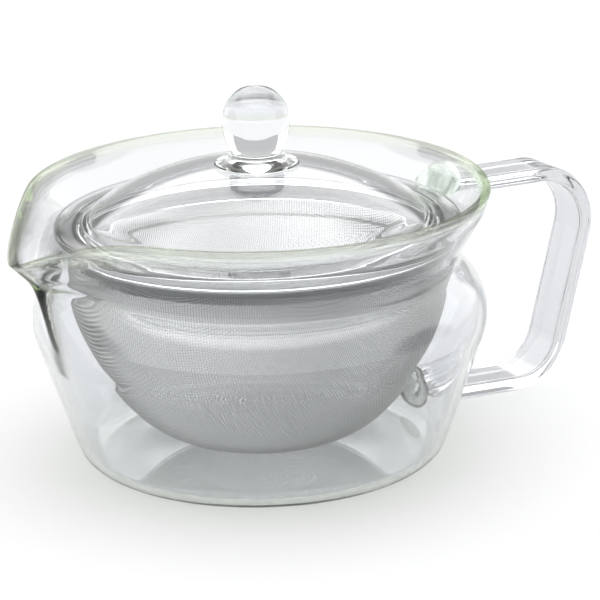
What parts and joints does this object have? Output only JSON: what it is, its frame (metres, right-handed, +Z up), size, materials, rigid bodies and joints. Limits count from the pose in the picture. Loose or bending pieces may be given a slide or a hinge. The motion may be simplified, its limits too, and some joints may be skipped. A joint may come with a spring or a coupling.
{
  "type": "glass teapot",
  "caption": "Clear glass teapot with a wide flared collar, pouring lip, flat bar handle, deep woven steel strainer and domed glass lid with a ball knob.",
  "frame": {"origin": "on the pot's axis, at the flat foot that it stands on", "axes": "+Z up along the pot's axis, +X towards the handle, -X towards the pouring lip; XZ is the plane of symmetry"},
  "size_m": [0.165, 0.115, 0.0949],
  "materials": {
    "pot_glass": "clear, fire polished",
    "handle_glass": "clear, fire polished",
    "woven_mesh": "fine woven wire",
    "hoop_steel": "rolled strip, lap seam",
    "rim_steel": "pressed strip, satin",
    "lid_glass": "clear, polished",
    "knob_glass": "clear, solid, polished"
  },
  "bodies": {
    "pot": {"pot_body": "pot_glass", "handle": "handle_glass"},
    "strainer": {"strainer_mesh": "woven_mesh", "strainer_hoop": "hoop_steel", "strainer_rim": "rim_steel"},
    "lid": {"lid_dome": "lid_glass", "lid_knob": "knob_glass"}
  },
  "joints": [
    {"name": "strainer_lift", "type": "slide", "parent": "pot", "child": "strainer", "axis": [0, 0, 1], "range_m": [0, 0.08]},
    {"name": "lid_lift", "type": "slide", "parent": "strainer", "child": "lid", "axis": [0, 0, 1], "range_m": [0, 0.04]}
  ]
}
